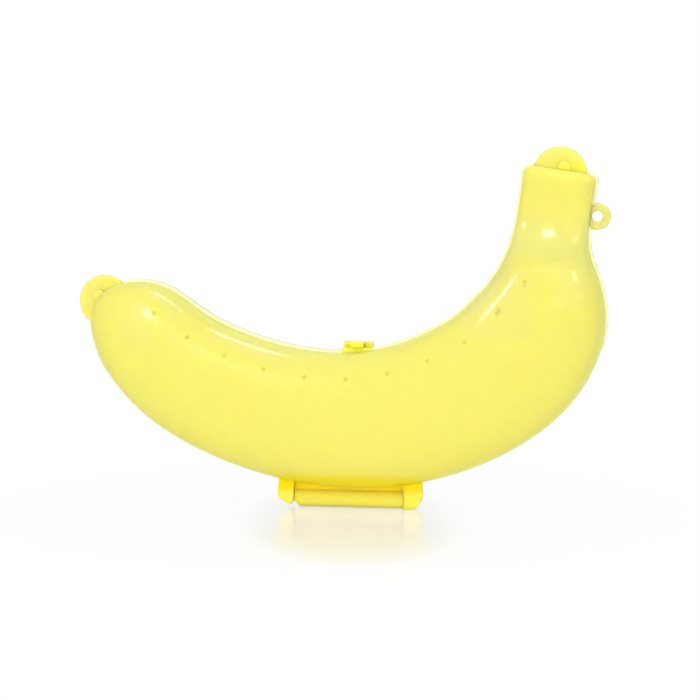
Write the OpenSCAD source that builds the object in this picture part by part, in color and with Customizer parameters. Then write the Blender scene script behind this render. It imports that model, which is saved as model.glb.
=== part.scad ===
// Hinged carrying case for one banana, standing on its hinge.
// X runs along the case, Y through its thickness with the front at -Y, and Z up.
// The two halves part on the plane Y = 0.

/* [Shells] */
// Wall thickness of both shells
wall = 1.5; // [1:0.1:2.2]
// Half depth of the case over its belly
belly_depth = 22; // [18:0.5:28]
// Half depth of the case at its rounded tip
tip_depth = 18; // [14:0.5:24]
// Half depth of the case along its stem
stem_depth = 11; // [8:0.5:16]
// Drop in half depth that sharpens the shoulder below the stem
shoulder_dip = 1.5; // [0:0.25:3]
// Depth of the straight land beside the parting plane
land = 4; // [3.5:0.25:6]
// Gap between the two closed halves
parting_gap = 0.3; // [0.2:0.05:0.6]
// Roundness of the cross section, where 2 is an ellipse
section_power = 2.2; // [2:0.1:3]
// Roundness of the tip in plan
tip_power = 2.1; // [1.8:0.1:2.6]
// Radius of the edge round the end of the stem
end_round = 3; // [2.3:0.1:4]

/* [Body line] */
// Tip of the body line: across, up and half width
line_tip = [-89.25, 75, 14.75]; // [-150:0.25:150]
// Body line behind the tip
line_neck = [-71.75, 63.5, 19.25]; // [-150:0.25:150]
// Body line at the left bend
line_left_bend = [-59.25, 48.75, 21.75]; // [-150:0.25:150]
// Body line at the left flank
line_left_flank = [-27.75, 35, 23.25]; // [-150:0.25:150]
// Body line at the belly
line_belly = [5.5, 30.5, 24.25]; // [-150:0.25:150]
// Body line at the right flank
line_right_flank = [36, 36.25, 25.5]; // [-150:0.25:150]
// Body line at the right bend
line_right_bend = [64.75, 52.25, 25.75]; // [-150:0.25:150]
// Body line below the shoulder
line_rise = [74.75, 72, 24.5]; // [-150:0.25:150]
// Body line at the shoulder
line_shoulder = [75.5, 89.5, 15.5]; // [-150:0.25:150]
// Body line at the foot of the stem
line_stem = [76.25, 99, 12.25]; // [-150:0.25:150]
// Body line at the end of the stem, before its round edge
line_end = [79.25, 119.5, 12.75]; // [-150:0.25:150]

/* [Rim] */
// Width of the flange round the rear half
flange_w = 1; // [0.8:0.1:2]
// Height at which the flange runs out on both outer sides
flange_foot = 57; // [45:0.5:70]
// Thickness of the locating lip
lip_t = 1; // [0.8:0.1:1.5]
// Reach of the locating lip into the front half
lip_reach = 2; // [1:0.1:3]
// Depth of the locating lip's root inside the rear half
lip_root = 2.5; // [1.5:0.1:3.4]
// Clearance round the locating lip
lip_gap = 0.35; // [0.3:0.05:0.6]

/* [Vents] */
// Number of vent holes in each shell
vent_count = 11; // [1:1:11]
// Diameter of a vent hole
vent_d = 1.4; // [0.8:0.1:3]
// Spacing of the vent holes along their row
vent_pitch = 15; // [10:0.1:16]
// Length along the row from the neck to the first vent hole
vent_first = 0.5; // [0:0.5:10]
// Distance of the row from the concave edge at the neck
vent_inset = 7.6; // [6:0.1:11]
// Further distance that the row gains by the foot of the stem
vent_drift = 8; // [0:0.5:9]

/* [Hinge] */
// Middle of the hinge across the case
hinge_x = 3.8; // [-10:0.1:20]
// Length of the middle knuckle
barrel_w = 40; // [20:0.5:60]
// Length of each outer knuckle
ear_w = 6.6; // [4:0.1:12]
// Radius of the knuckles
barrel_r = 3.1; // [2.6:0.1:3.4]
// Radius of the hinge pin
pin_r = 1.25; // [0.8:0.05:1.6]
// Radial clearance between the pin and the middle knuckle
pin_clearance = 0.05; // [0.02:0.01:0.1]
// Gap between neighbouring knuckles
knuckle_gap = 0.3; // [0.2:0.05:0.8]
// Depth of the flat feet under the knuckles
foot_depth = 4.5; // [3.6:0.1:6]
// Radius of the outer lower corner of each outer knuckle
ear_corner = 2.6; // [0.5:0.1:3]
// How far the rear leaf reaches behind each outer knuckle
leaf_wing = 3; // [1:0.1:5]
// Room between the rear leaf's wings and the outer knuckles below them
wing_room = 0.4; // [0.3:0.1:0.8]
// Wall left closed at the end of the hinge pin's hole
pin_stop = 1.5; // [0.8:0.1:3]

/* [Thumb tabs] */
// Radius of the thumb tabs
tab_r = 9.6; // [7:0.1:12]
// Thickness of the thumb tabs
tab_t = 2.4; // [1.5:0.1:3.5]
// Distance of the tip tab's centre back from the tip
tip_tab_inset = 1.4; // [0:0.1:6]
// Sideways shift of the tip tab towards the outer side
tip_tab_shift = -0.3; // [-4:0.1:4]
// Distance of the stem tab's centre back from the end of the stem
stem_tab_inset = 1.4; // [0:0.1:6]
// Sideways shift of the stem tab towards the outer side
stem_tab_shift = -0.3; // [-4:0.1:4]

/* [Snap noses] */
// Width of the snap noses
nose_w = 4.6; // [3:0.1:8]
// Reach of the snap noses beyond the front shell
nose_reach = 3.4; // [2.5:0.1:6]
// Sideways shift of the tip's nose towards the outer side
tip_nose_shift = -1.2; // [-4:0.1:4]
// Sideways shift of the stem's nose towards the outer side
stem_nose_shift = 1.1; // [-4:0.1:4]
// Thickness of the snap noses
nose_t = 2.4; // [1.5:0.1:3.5]

/* [Carry ring] */
// Height of the carry ring's centre
ring_z = 106; // [100:0.5:114]
// Radius of the carry ring's hole
ring_hole_r = 1.9; // [1:0.1:3]
// Wall between the hole and the shell
ring_inner_wall = 0.7; // [0.4:0.1:2]
// Wall round the outside of the hole
ring_outer_wall = 2.9; // [1.5:0.1:4]
// Thickness of the carry ring
ring_t = 2.6; // [1.5:0.1:3.8]

/* [Latch] */
// Middle of the latch across the case
latch_x = 6.7; // [-15:0.1:25]
// Width of the lever
lever_w = 4.7; // [3:0.1:8]
// Width of each lug
lug_w = 2.7; // [1.5:0.1:4]
// Side gap between the lever and a lug
latch_side_gap = 0.3; // [0.2:0.05:0.6]
// Radius of the lugs and of the lever's hub
hub_r = 1.3; // [1:0.05:1.5]
// Radius of the latch pin
latch_pin_r = 0.6; // [0.4:0.05:0.8]
// Radial clearance between the latch pin and the lever
latch_pin_clearance = 0.05; // [0.02:0.01:0.1]
// Distance of the latch pin behind the parting plane
pivot_y = 2.2; // [1.7:0.1:2.5]
// Room between the hub and the flange
hub_room = 0.3; // [0.2:0.05:0.6]
// Reach of the lever in front of the parting plane
lever_reach = 3.4; // [2.8:0.1:4]
// Thickness of the lever's arm
arm_t = 1.1; // [0.8:0.1:1.2]
// Thickness of the hook
hook_t = 1; // [0.8:0.1:1.4]
// Reach of the finger lip beyond the hook
finger_reach = 1.4; // [0.5:0.1:3]
// Thickness of the finger lip
finger_t = 0.8; // [0.5:0.1:1]
// Height of the catch above the edge of the front shell
catch_h = 1.6; // [1:0.1:1.8]
// Thickness of the catch
catch_t = 1.6; // [1:0.1:2]
// Clearance between the hook and the catch
hook_gap = 0.3; // [0.2:0.05:0.5]

/* [Hidden] */
$fn = 64;

yellow = [0.97, 0.92, 0.42];
deep_yellow = [0.98, 0.90, 0.30];
pale_yellow = [0.99, 0.97, 0.72];
steel = [0.75, 0.76, 0.78];

// How finely the shells are sampled: sections in the tip, in each span and round the end, points across a section
tip_steps = 10;
span_steps = 5;
end_steps = 3;
across_steps = 18;
// Least radius kept round the end of an inner face
least_round = 0.2;
// How far cuts run past what they cut, and the reach of a cut that clears everything on one side
past = 1;
far = 300;

// Control rows of the body line, with half depths
rows = [
    concat(line_tip, tip_depth),
    concat(line_neck, (tip_depth + belly_depth) / 2),
    concat(line_left_bend, belly_depth),
    concat(line_left_flank, belly_depth),
    concat(line_belly, belly_depth),
    concat(line_right_flank, belly_depth),
    concat(line_right_bend, belly_depth),
    concat(line_rise, belly_depth),
    concat(line_shoulder, belly_depth),
    concat(line_stem, stem_depth - shoulder_dip),
    concat(line_end, stem_depth)
];
spans = len(rows) - 1;
// One mirrored row beyond each end, so that the smooth line starts and ends on its first and last rows
line_rows = concat([2 * rows[0] - rows[1]], rows, [2 * rows[spans] - rows[spans - 1]]);
section_count = tip_steps + (spans - 1) * span_steps + end_steps;

// Smooth line through the control rows, and its direction, at a place counted in rows from the tip
function line_weights(f) = [
    pow(1 - f, 3), 3 * pow(f, 3) - 6 * pow(f, 2) + 4, -3 * pow(f, 3) + 3 * pow(f, 2) + 3 * f + 1, pow(f, 3)
] / 6;
function line_slopes(f) = [
    -pow(1 - f, 2), 3 * pow(f, 2) - 4 * f, -3 * pow(f, 2) + 2 * f + 1, pow(f, 2)
] / 2;
function span_of(place) = min(floor(place), spans - 1);
function mix_rows(weights, i) = weights[0] * line_rows[i] + weights[1] * line_rows[i + 1]
    + weights[2] * line_rows[i + 2] + weights[3] * line_rows[i + 3];
function line_at(place) = mix_rows(line_weights(place - span_of(place)), span_of(place));
function slope_at(place) = mix_rows(line_slopes(place - span_of(place)), span_of(place));
function along_at(place) = let (s = slope_at(place)) [s[0], s[1]] / norm([s[0], s[1]]);
function left_of(v) = [-v[1], v[0]];

// A section is [centre, direction along the line, half width, half depth], drawn in by the given amount
tip_span = norm([line_neck[0] - line_tip[0], line_neck[1] - line_tip[1]]);
function tip_section(step, inset) =
    let (start = inset / tip_span, place = start + (1 - start) * pow(step / tip_steps, 2))
    let (row = line_at(place), swell = pow(1 - pow((1 - place) / (1 - start), tip_power), 1 / tip_power))
    [[row[0], row[1]], along_at(place), (row[2] - inset) * swell, land + (row[3] - inset - land) * swell];
function span_section(step, inset) =
    let (place = 1 + step / span_steps, row = line_at(place))
    [[row[0], row[1]], along_at(place), row[2] - inset, row[3] - inset];
function end_section(step, inset) =
    let (row = line_at(spans), along = along_at(spans), turn = 90 * step / end_steps)
    let (r = max(end_round - inset, least_round))
    let (drawn = inset + r * (1 - cos(turn)))
    [[row[0], row[1]] + along * r * sin(turn), along, row[2] - drawn, row[3] - drawn];
span_sections = (spans - 1) * span_steps;
function section(k, inset) =
    k < tip_steps ? tip_section(k + 1, inset)
    : k < tip_steps + span_sections ? span_section(k - tip_steps + 1, inset)
    : end_section(k - tip_steps - span_sections + 1, inset);
function concave_edge(k, inset) = let (s = section(k, inset)) s[0] + left_of(s[1]) * s[2];
function convex_edge(k, inset) = let (s = section(k, inset)) s[0] - left_of(s[1]) * s[2];

// Outline of the case in the parting plane, and an outline moved out by r
function outline(inset) = concat(
    [for (k = [0 : section_count - 1]) concave_edge(k, inset)],
    [for (k = [section_count - 1 : -1 : 0]) convex_edge(k, inset)]);
function unit(v) = v / norm(v);
function moved_out(loop, r) = let (n = len(loop)) [
    for (i = [0 : n - 1])
        let (before = unit(loop[i] - loop[(i + n - 1) % n]), after = unit(loop[(i + 1) % n] - loop[i]))
        let (out = unit(left_of(before) + left_of(after)))
        loop[i] + out * r / (out * left_of(after))
];
shell_outline = outline(0);
flange_outline = moved_out(shell_outline, flange_w);

// Half of the gap is left on each side of the parting plane
face = parting_gap / 2;

// Places on the line
line_start = [rows[0][0], rows[0][1]];
line_start_along = along_at(0);
line_finish_along = along_at(spans);
stem_end = [rows[spans][0], rows[spans][1]] + line_finish_along * end_round;
stem_outer_side = -left_of(line_finish_along);
tip_outer_side = -left_of(line_start_along);
tip_tab_centre = line_start + line_start_along * tip_tab_inset + tip_outer_side * tip_tab_shift;
stem_tab_centre = stem_end - line_finish_along * stem_tab_inset + stem_outer_side * stem_tab_shift;

// Hinge places
hinge_z = barrel_r;
barrel_left = hinge_x - barrel_w / 2;
barrel_right = hinge_x + barrel_w / 2;
ear_left = barrel_left - knuckle_gap - ear_w;
ear_right = barrel_right + knuckle_gap + ear_w;

// Carry ring places: the stem's outer edge at the ring's height
outer_edge = [for (k = [0 : section_count - 1 - end_steps]) let (p = convex_edge(k, 0)) [p[1], p[0]]];
ring_centre = [lookup(ring_z, outer_edge) + ring_inner_wall + ring_hole_r, ring_z];
ring_r = ring_hole_r + ring_outer_wall;

// Latch places: the concave edge at the latch
inner_edge = [for (k = [0 : section_count - 1]) concave_edge(k, 0)];
latch_edge_z = lookup(latch_x, inner_edge);
latch_w = lever_w + 2 * (latch_side_gap + lug_w);
pivot_z = latch_edge_z + flange_w + hub_room + hub_r;
catch_top = latch_edge_z + catch_h;

// Row of vent holes beside the concave edge, stepped off along its own length from the neck
vent_rows = 8;
vent_steps = vent_rows * span_steps;
function vent_point(i) =
    let (s = section(tip_steps - 1 + i, 0), inset = vent_inset + vent_drift * pow(i / vent_steps, 3))
    s[0] + left_of(s[1]) * (s[2] - inset);
vent_line = [for (i = [0 : vent_steps]) vent_point(i)];
function vent_length(i) = i == 0 ? 0 : vent_length(i - 1) + norm(vent_line[i] - vent_line[i - 1]);
vent_lengths = [for (i = [0 : vent_steps]) [vent_length(i), i]];
function vent_place(hole) =
    let (at = lookup(vent_first + hole * vent_pitch, vent_lengths), i = min(floor(at), vent_steps - 1))
    vent_line[i] * (i + 1 - at) + vent_line[i + 1] * (at - i);

// Extrudes a shape of the XZ plane from depth y0 to depth y1
module slab(y0, y1) {
    translate([0, y1, 0])
        rotate([90, 0, 0])
            linear_extrude(y1 - y0)
                children();
}

// Rod along X
module rod(x0, x1, y, z, r) {
    translate([x0, y, z])
        rotate([0, 90, 0])
            cylinder(h = x1 - x0, r = r);
}

// Half shell on the front side, as one closed skin of outer face, inner face, rim and ends
function across_point(s, j, depth_face) =
    let (turn = 180 * (j - 1) / (across_steps - 2), c = cos(turn))
    j == 0 ? [s[2], depth_face]
    : j == across_steps ? [-s[2], depth_face]
    : [s[2] * sign(c) * pow(abs(c), 2 / section_power),
       land + (s[3] - land) * pow(sin(turn), 2 / section_power)];
function section_points(s) = [
    for (j = [0 : across_steps])
        let (p = across_point(s, j, face), plan = s[0] + left_of(s[1]) * p[0])
        [plan[0], -p[1], plan[1]]
];
function skin_points(inset) = [for (k = [0 : section_count - 1]) each section_points(section(k, inset))];

module half_shell() {
    ring = across_steps + 1;
    inner = section_count * ring;
    last = (section_count - 1) * ring;
    steps = [0 : section_count - 2];
    outer_faces = [for (k = steps, j = [0 : across_steps - 1])
        let (a = k * ring + j, b = a + ring)
        each [[a, b, b + 1], [a, b + 1, a + 1]]];
    inner_faces = [for (f = outer_faces) [inner + f[0], inner + f[2], inner + f[1]]];
    rim_faces = [for (k = steps)
        let (a = k * ring, b = a + ring, c = a + across_steps, d = b + across_steps)
        each [[a, inner + a, inner + b], [a, inner + b, b], [c, d, inner + d], [c, inner + d, inner + c]]];
    end_faces = [
        [for (j = [0 : across_steps]) j],
        [for (j = [across_steps : -1 : 0]) inner + j],
        [for (j = [across_steps : -1 : 0]) last + j],
        [for (j = [0 : across_steps]) inner + last + j],
        [0, across_steps, inner + across_steps, inner],
        [last, inner + last, inner + last + across_steps, last + across_steps]
    ];
    difference() {
        polyhedron(concat(skin_points(0), skin_points(wall)), concat(outer_faces, inner_faces, rim_faces, end_faces),
                   convexity = 8);
        for (i = [0 : vent_count - 1])
            let (p = vent_place(i))
            translate([p[0], -land, p[1]])
                rotate([90, 0, 0])
                    cylinder(h = belly_depth, d = vent_d);
    }
}

module front_shell() {
    color(yellow)
        half_shell();
}

module rear_shell() {
    color(yellow)
        mirror([0, 1, 0])
            half_shell();
}

// All that lies on the outer side of the body line, up to the given height
module outer_side(top) {
    intersection() {
        polygon(concat([for (k = [0 : section_count - 1]) section(k, 0)[0]], [[far, -far], [-far, -far]]));
        translate([-far, -far])
            square([2 * far, far + top]);
    }
}

module rim_flange() {
    color(pale_yellow)
        slab(face, land)
            difference() {
                polygon(flange_outline);
                polygon(shell_outline);
                outer_side(flange_foot);
                translate(ring_centre)
                    circle(ring_r);
            }
}

module locating_lip() {
    color(yellow)
        difference() {
            slab(-lip_reach, lip_root)
                difference() {
                    polygon(outline(wall));
                    polygon(outline(wall + lip_gap + lip_t));
                }
            slab(-lip_reach - past, face)
                difference() {
                    polygon(shell_outline);
                    polygon(outline(wall + lip_gap));
                }
        }
}

// Leaf that fills the space between a knuckle and the shell above it, from the given height
module leaf(x0, x1, foot = hinge_z) {
    difference() {
        translate([x0, foot])
            square([x1 - x0, line_belly[1] - foot]);
        polygon(shell_outline);
    }
}

module hinge_barrel() {
    color(deep_yellow)
        difference() {
            union() {
                rod(barrel_left, barrel_right, 0, hinge_z, barrel_r);
                translate([barrel_left, 0, 0])
                    cube([barrel_w, foot_depth, hinge_z]);
                slab(face, land) {
                    leaf(barrel_left, barrel_right);
                    leaf(barrel_left - leaf_wing, barrel_right + leaf_wing, hinge_z + barrel_r + wing_room);
                }
            }
            rod(barrel_left - past, barrel_right + past, 0, hinge_z, pin_r + pin_clearance);
        }
}

// Outer knuckle from its inner side at x = 0 to its outer side at x = ear_w, before its place is cut out
module ear_profile() {
    square([ear_w - ear_corner, line_belly[1]]);
    translate([0, ear_corner])
        square([ear_w, line_belly[1] - ear_corner]);
    translate([ear_w - ear_corner, ear_corner])
        circle(ear_corner);
}

module hinge_ear(x0, x1, side) {
    difference() {
        intersection() {
            union() {
                rod(x0, x1, 0, hinge_z, barrel_r);
                translate([x0, -foot_depth, 0])
                    cube([x1 - x0, foot_depth, hinge_z]);
                slab(-land, -face)
                    leaf(x0, x1);
            }
            slab(-foot_depth - past, foot_depth + past)
                translate([side < 0 ? x1 : x0, 0])
                    scale([side, 1])
                        ear_profile();
        }
        children();
    }
}

module left_hinge_ear() {
    color(deep_yellow)
        hinge_ear(ear_left, ear_left + ear_w, -1)
            rod(ear_left - past, ear_left + ear_w + past, 0, hinge_z, pin_r);
}

module right_hinge_ear() {
    color(deep_yellow)
        hinge_ear(ear_right - ear_w, ear_right, 1)
            rod(ear_right - ear_w - past, ear_right - pin_stop, 0, hinge_z, pin_r);
}

module hinge_pin() {
    color(steel)
        rod(ear_left, ear_right - pin_stop, 0, hinge_z, pin_r);
}

module thumb_tab(centre) {
    color(yellow)
        slab(face, face + tab_t)
            difference() {
                translate(centre)
                    circle(tab_r);
                polygon(flange_outline);
            }
}

module tip_thumb_tab() {
    thumb_tab(tip_tab_centre);
}

module stem_thumb_tab() {
    thumb_tab(stem_tab_centre);
}

module carry_ring() {
    color(yellow)
        slab(face, face + ring_t)
            difference() {
                translate(ring_centre)
                    circle(ring_r);
                translate(ring_centre)
                    circle(ring_hole_r);
                polygon(shell_outline);
            }
}

// Nose that stands out of the front shell at a place on its outline, in the given direction
module snap_nose(place, out) {
    color(yellow)
        slab(-face - nose_t, -face)
            difference() {
                translate(place)
                    rotate(atan2(out[1], out[0])) {
                        translate([-nose_w, -nose_w / 2])
                            square([nose_w + nose_reach - nose_w / 2, nose_w]);
                        translate([nose_reach - nose_w / 2, 0])
                            circle(nose_w / 2);
                    }
                polygon(shell_outline);
            }
}

module tip_snap_nose() {
    snap_nose(line_start + tip_outer_side * tip_nose_shift, -line_start_along);
}

module stem_snap_nose() {
    snap_nose(stem_end + stem_outer_side * stem_nose_shift, line_finish_along);
}

module latch_lug(x0) {
    difference() {
        union() {
            rod(x0, x0 + lug_w, pivot_y, pivot_z, hub_r);
            translate([x0, pivot_y - hub_r, latch_edge_z])
                cube([lug_w, 2 * hub_r, pivot_z - latch_edge_z]);
        }
        slab(-land, land)
            polygon(flange_outline);
        rod(x0 - past, x0 + lug_w + past, pivot_y, pivot_z, latch_pin_r);
    }
}

module latch_lugs() {
    color(deep_yellow)
        for (x0 = [latch_x - latch_w / 2, latch_x + latch_w / 2 - lug_w])
            latch_lug(x0);
}

module latch_pin() {
    color(steel)
        rod(latch_x - latch_w / 2, latch_x + latch_w / 2, pivot_y, pivot_z, latch_pin_r);
}

module latch_catch() {
    color(deep_yellow)
        slab(-face - catch_t, -face)
            difference() {
                translate([latch_x - latch_w / 2, latch_edge_z - past])
                    square([latch_w, past + catch_h]);
                polygon(shell_outline);
            }
}

module latch_lever() {
    x0 = latch_x - lever_w / 2;
    arm_top = pivot_z + hub_r;
    hook_foot = catch_top + hook_gap;
    color(deep_yellow)
        difference() {
            union() {
                rod(x0, x0 + lever_w, pivot_y, pivot_z, hub_r);
                translate([x0, -lever_reach, arm_top - arm_t])
                    cube([lever_w, lever_reach + pivot_y, arm_t]);
                translate([x0, -lever_reach, hook_foot])
                    cube([lever_w, hook_t, arm_top - hook_foot]);
                translate([x0, -lever_reach - finger_reach, arm_top - finger_t])
                    cube([lever_w, finger_reach + hook_t, finger_t]);
            }
            rod(x0 - past, x0 + lever_w + past, pivot_y, pivot_z, latch_pin_r + latch_pin_clearance);
        }
}

rear_shell();
rim_flange();
locating_lip();
hinge_barrel();
tip_thumb_tab();
stem_thumb_tab();
carry_ring();
latch_lugs();
latch_pin();
front_shell();
left_hinge_ear();
right_hinge_ear();
hinge_pin();
tip_snap_nose();
stem_snap_nose();
latch_catch();
latch_lever();
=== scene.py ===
"""Looks of a hinged carrying case for one banana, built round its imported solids."""

import math

import bmesh
import bpy
import numpy as np
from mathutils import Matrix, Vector


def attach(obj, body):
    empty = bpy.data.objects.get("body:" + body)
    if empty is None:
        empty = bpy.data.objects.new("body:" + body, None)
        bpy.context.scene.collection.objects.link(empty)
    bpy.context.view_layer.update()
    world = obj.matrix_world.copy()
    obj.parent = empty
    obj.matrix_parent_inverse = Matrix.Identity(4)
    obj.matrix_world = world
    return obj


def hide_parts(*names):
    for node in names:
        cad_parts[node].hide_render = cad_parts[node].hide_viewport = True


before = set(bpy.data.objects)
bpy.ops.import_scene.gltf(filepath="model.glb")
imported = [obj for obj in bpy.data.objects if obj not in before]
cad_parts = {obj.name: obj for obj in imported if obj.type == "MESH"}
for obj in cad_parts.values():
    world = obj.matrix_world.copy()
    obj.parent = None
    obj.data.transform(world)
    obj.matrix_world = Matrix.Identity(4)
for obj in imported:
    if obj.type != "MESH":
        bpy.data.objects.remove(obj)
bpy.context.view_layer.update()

# Sizes are in millimetres, as in the part's source, and meshes are written in metres.
MM = 0.001

# The half shells. LAND is the depth of their straight rims, FACE the distance of a rim from the parting plane.
WALL = 1.5
LAND = 4.0
FACE = 0.15
SECTION_POWER = 2.2
TIP_POWER = 2.1
END_ROUND = 3.0
LEAST_ROUND = 0.2
RIM_ROUND = 0.35

# The flange round the rim. On the outer side there is none below FLANGE_FOOT, and it thins out towards there.
FLANGE_W = 1.0
FLANGE_FOOT = 57.0
FLANGE_ROUND = 0.4
FLANGE_LET_IN = 0.4
FLANGE_EASE = 3.0
FLANGE_LEAST = 0.2
FLANGE_SHORTEST = 3

# The lip inside the rim.
LIP_T = 1.0
LIP_REACH = 2.0
LIP_ROOT = 2.5
LIP_GAP = 0.35
LIP_ROUND = 0.3
LIP_LET_IN = 0.02

# The carry ring, the thumb tabs and the snap noses.
RING_CENTRE = np.array([92.616, 106.0])
RING_R = 4.799
RING_HOLE_R = 1.9
RING_T = 2.6
RING_SOFT = 0.9
TIP_TAB_CENTRE = np.array([-87.916, 74.482])
STEM_TAB_CENTRE = np.array([79.185, 121.126])
TAB_R = 9.598
TAB_T = 2.4
TAB_SOFT = 1.1
NOSE_W = 4.6
NOSE_REACH = 3.4
NOSE_T = 2.4
NOSE_SOFT = 0.8
NOSE_LEAST_ASIDE = 0.05
TIP_NOSE_SHIFT = -1.2
STEM_NOSE_SHIFT = 1.1
PAD_PROUD = 0.03

# How far fittings are let into the shell and into the flange, and how far from either a side still counts as on it.
SHELL_LET_IN = 0.6
EDGE_LET_IN = 0.5
ROOT_NEAR = 0.25
ROOT_ALONG = 4.0

# Rounding of the edges of the hinge, the latch and the pins.
HINGE_SOFT = 0.3
LATCH_SOFT = 0.14
PIN_SOFT = 0.1

# The row of vents beside the inner edge.
VENT_COUNT = 11
VENT_R = 0.7
VENT_PITCH = 15.0
VENT_FIRST = 0.5
VENT_INSET = 7.6
VENT_DRIFT = 8.0
VENT_ROWS = 8

# Cells of a shell's grid that make way for a vent, and the rings drawn there instead: radius and how far it is sunk.
OUTER_FACE, INNER_FACE = 1, -1
VENT_BLOCK = (4, 6)
VENT_RINGS = {
    OUTER_FACE: ((1.6, 0.0), (1.1, 0.0), (0.9, 0.01), (VENT_R, 0.05), (0.45, 0.1), (0.25, 0.15), (0.13, 0.22)),
    INNER_FACE: ((1.6, 0.0), (0.9, 0.0), (0.4, 0.02), (0.13, 0.12)),
}

# Control rows of the body line: across, up, half width and half depth.
BODY_ROWS = np.array([
    [-89.25, 75.0, 14.75, 18.0],
    [-71.75, 63.5, 19.25, 20.0],
    [-59.25, 48.75, 21.75, 22.0],
    [-27.75, 35.0, 23.25, 22.0],
    [5.5, 30.5, 24.25, 22.0],
    [36.0, 36.25, 25.5, 22.0],
    [64.75, 52.25, 25.75, 22.0],
    [74.75, 72.0, 24.5, 22.0],
    [75.5, 89.5, 15.5, 22.0],
    [76.25, 99.0, 12.25, 9.5],
    [79.25, 119.5, 12.75, 11.0],
])
SPANS = len(BODY_ROWS) - 1
LINE_ROWS = np.vstack([2 * BODY_ROWS[0] - BODY_ROWS[1], BODY_ROWS, 2 * BODY_ROWS[-1] - BODY_ROWS[-2]])
TIP_SPAN = float(np.linalg.norm(BODY_ROWS[1, :2] - BODY_ROWS[0, :2]))

# How finely the case is drawn. A rounded corner's middle point lies CORNER of its radius from both faces.
TIP_STEPS = 30
BODY_STEPS = 162
END_STEPS = 10
ARC_STEPS = 72
END_LINE_STEPS = 16
VENT_LINE_STEPS = 400
TAB_STEPS = 720
PAD_STEPS = 96
SOFT_STEPS = 5
CORNER = 0.3
FAR = 99.0

# Clean-up of meshes: distances in metres, angles in degrees.
DOUBLE = 2e-6
SLIVER = 1e-7
FLAT_ANGLE = 0.5
EDGE_ANGLE = 30
SHELL_SHARP = 40
FITTING_SHARP = 50


def line_at(place):
    """The body line's rows and unit directions at places counted in rows from the tip."""
    place = np.asarray(place, float)
    span = np.minimum(place.astype(int), SPANS - 1)
    f = (place - span)[:, None]
    weights = np.hstack([(1 - f) ** 3, 3 * f ** 3 - 6 * f ** 2 + 4,
                         -3 * f ** 3 + 3 * f ** 2 + 3 * f + 1, f ** 3]) / 6
    slopes = np.hstack([-(1 - f) ** 2, 3 * f ** 2 - 4 * f, -3 * f ** 2 + 2 * f + 1, f ** 2]) / 2
    near = LINE_ROWS[span[:, None] + np.arange(4)]
    row = (weights[:, :, None] * near).sum(1)
    slope = (slopes[:, :, None] * near).sum(1)[:, :2]
    return row, slope / np.linalg.norm(slope, axis=1, keepdims=True)


def left_of(v):
    """Directions turned a quarter to the left."""
    return np.stack([-v[..., 1], v[..., 0]], -1)


def sections(inset):
    """Centres, directions, half widths and half depths of the sections, drawn in by the given amount."""
    start = inset / TIP_SPAN
    tip = start + (1 - start) * (np.arange(TIP_STEPS + 1) / TIP_STEPS) ** 2
    body = 1 + np.arange(1, BODY_STEPS + 1) * (SPANS - 1) / BODY_STEPS
    row, along = line_at(np.concatenate([tip, body]))
    swell = np.ones(len(row))
    swell[: len(tip)] = (1 - ((1 - tip) / (1 - start)) ** TIP_POWER) ** (1 / TIP_POWER)
    half_w = (row[:, 2] - inset) * swell
    half_d = LAND + (row[:, 3] - inset - LAND) * swell
    turn = np.radians(np.arange(1, END_STEPS + 1) * 90 / END_STEPS)
    r = max(END_ROUND - inset, LEAST_ROUND)
    drawn = r * (1 - np.cos(turn))
    centre = np.vstack([row[:, :2], row[-1, :2] + along[-1] * (r * np.sin(turn))[:, None]])
    along = np.vstack([along, np.repeat(along[-1:], END_STEPS, 0)])
    half_w = np.concatenate([half_w, half_w[-1] - drawn])
    half_d = np.concatenate([half_d, half_d[-1] - drawn])
    return centre, along, half_w, half_d


def outline(inset):
    """Loop of the case in the parting plane: along the inner edge, across the stem's end and back."""
    centre, along, half_w, _ = sections(inset)
    inner = centre + left_of(along) * half_w[:, None]
    outer = centre - left_of(along) * half_w[:, None]
    share = np.arange(1, END_LINE_STEPS)[:, None] / END_LINE_STEPS
    across = inner[-1] * (1 - share) + outer[-1] * share
    return np.vstack([inner, across, outer[::-1][:-1]])


def outward(loop):
    """Unit normals of a closed loop, pointing away from the case."""
    slope = np.roll(loop, -1, 0) - np.roll(loop, 1, 0)
    return left_of(slope / np.linalg.norm(slope, axis=1, keepdims=True))


CASE_LOOP = outline(0)
CASE_OUT = outward(CASE_LOOP)
FLANGE_LOOP = CASE_LOOP + CASE_OUT * FLANGE_W


def skin(inset, foot):
    """Grid of points of a half shell's face on the front side, from one edge over to the other."""
    centre, along, half_w, half_d = sections(inset)
    left = left_of(along)
    turn = np.linspace(0, np.pi, ARC_STEPS + 1)
    across = np.sign(np.cos(turn)) * np.abs(np.cos(turn)) ** (2 / SECTION_POWER)
    rise = np.clip(np.sin(turn), 0, 1) ** (2 / SECTION_POWER)
    across = np.concatenate([[1, 1], across, [-1, -1]])
    depth = LAND + (half_d - LAND)[:, None] * np.concatenate([[0, 0], rise, [0, 0]])
    depth[:, [0, -1]] = foot
    depth[:, [1, -2]] = (foot + LAND) / 2
    plan = centre[:, None, :] + left[:, None, :] * (half_w[:, None] * across)[:, :, None]
    return np.stack([plan[..., 0], -depth, plan[..., 1]], -1)


# Fine steps along the body line, for finding where on it a point lies. Places farther off than BESIDE don't count,
# since the line curves back.
PLACES = np.linspace(0.5, 9.5, 9001)
PLACE_ROWS, PLACE_ALONG = line_at(PLACES)
BESIDE = 40.0


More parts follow.
